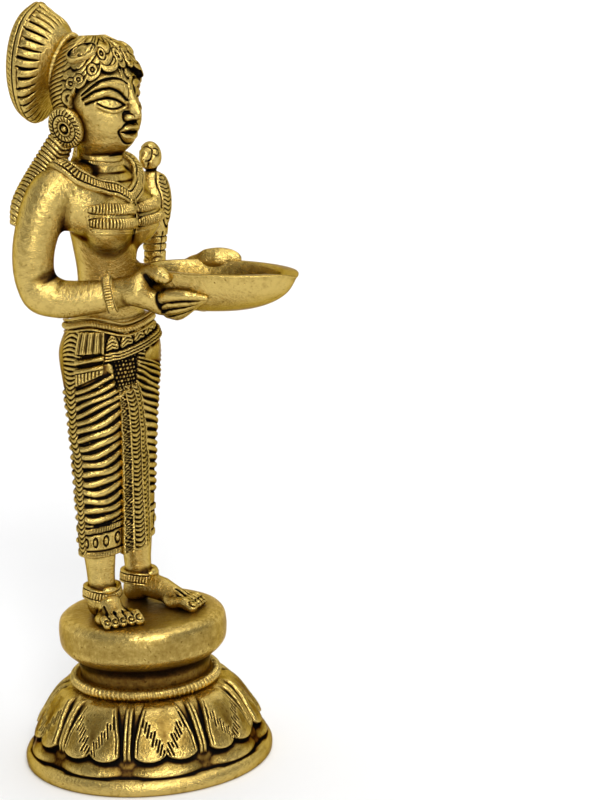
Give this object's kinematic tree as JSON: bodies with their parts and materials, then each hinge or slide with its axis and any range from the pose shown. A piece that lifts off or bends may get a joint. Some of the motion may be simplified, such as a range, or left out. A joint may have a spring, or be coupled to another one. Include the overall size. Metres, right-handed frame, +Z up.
{
  "type": "deepalakshmi oil lamp",
  "caption": "Standing lamp bearer in cast brass on a round plinth and lotus base, holding a leaf-shaped oil bowl in both hands, with a parrot on one arm.",
  "frame": {"origin": "centre of the lotus base, on the plane that the lamp stands on", "axes": "+Z up, -Y the way the figure faces and the spout points, +X the figure's left"},
  "size_m": [0.066, 0.0834, 0.1978],
  "materials": {
    "cast_brass": "chased and brushed, with dark brown patina left in the grooves",
    "turned_brass": "plain, dull"
  },
  "bodies": {
    "root": {"lotus_base": "cast_brass", "rope_collar": "cast_brass", "plinth": "cast_brass", "fixing_stud": "turned_brass", "fixing_washer": "turned_brass", "fixing_nut": "turned_brass", "right_leg": "cast_brass", "left_leg": "cast_brass", "right_anklet": "cast_brass", "left_anklet": "cast_brass", "skirt": "cast_brass", "front_pleat": "cast_brass", "girdle": "cast_brass", "right_hip_sash": "cast_brass", "left_hip_sash": "cast_brass", "torso": "cast_brass", "right_bodice_bands": "cast_brass", "left_bodice_bands": "cast_brass", "necklace": "cast_brass", "choker": "cast_brass", "head": "cast_brass", "hair_cap": "cast_brass", "right_hair_brooch": "cast_brass", "left_hair_brooch": "cast_brass", "right_earring": "cast_brass", "left_earring": "cast_brass", "hair_bun": "cast_brass", "bun_ring": "cast_brass", "right_hair_lock": "cast_brass", "left_hair_lock": "cast_brass", "right_arm": "cast_brass", "left_arm": "cast_brass", "armlet": "cast_brass", "right_bangle": "cast_brass", "left_bangle": "cast_brass", "oil_bowl": "cast_brass", "parrot": "cast_brass"}
  },
  "joints": []
}
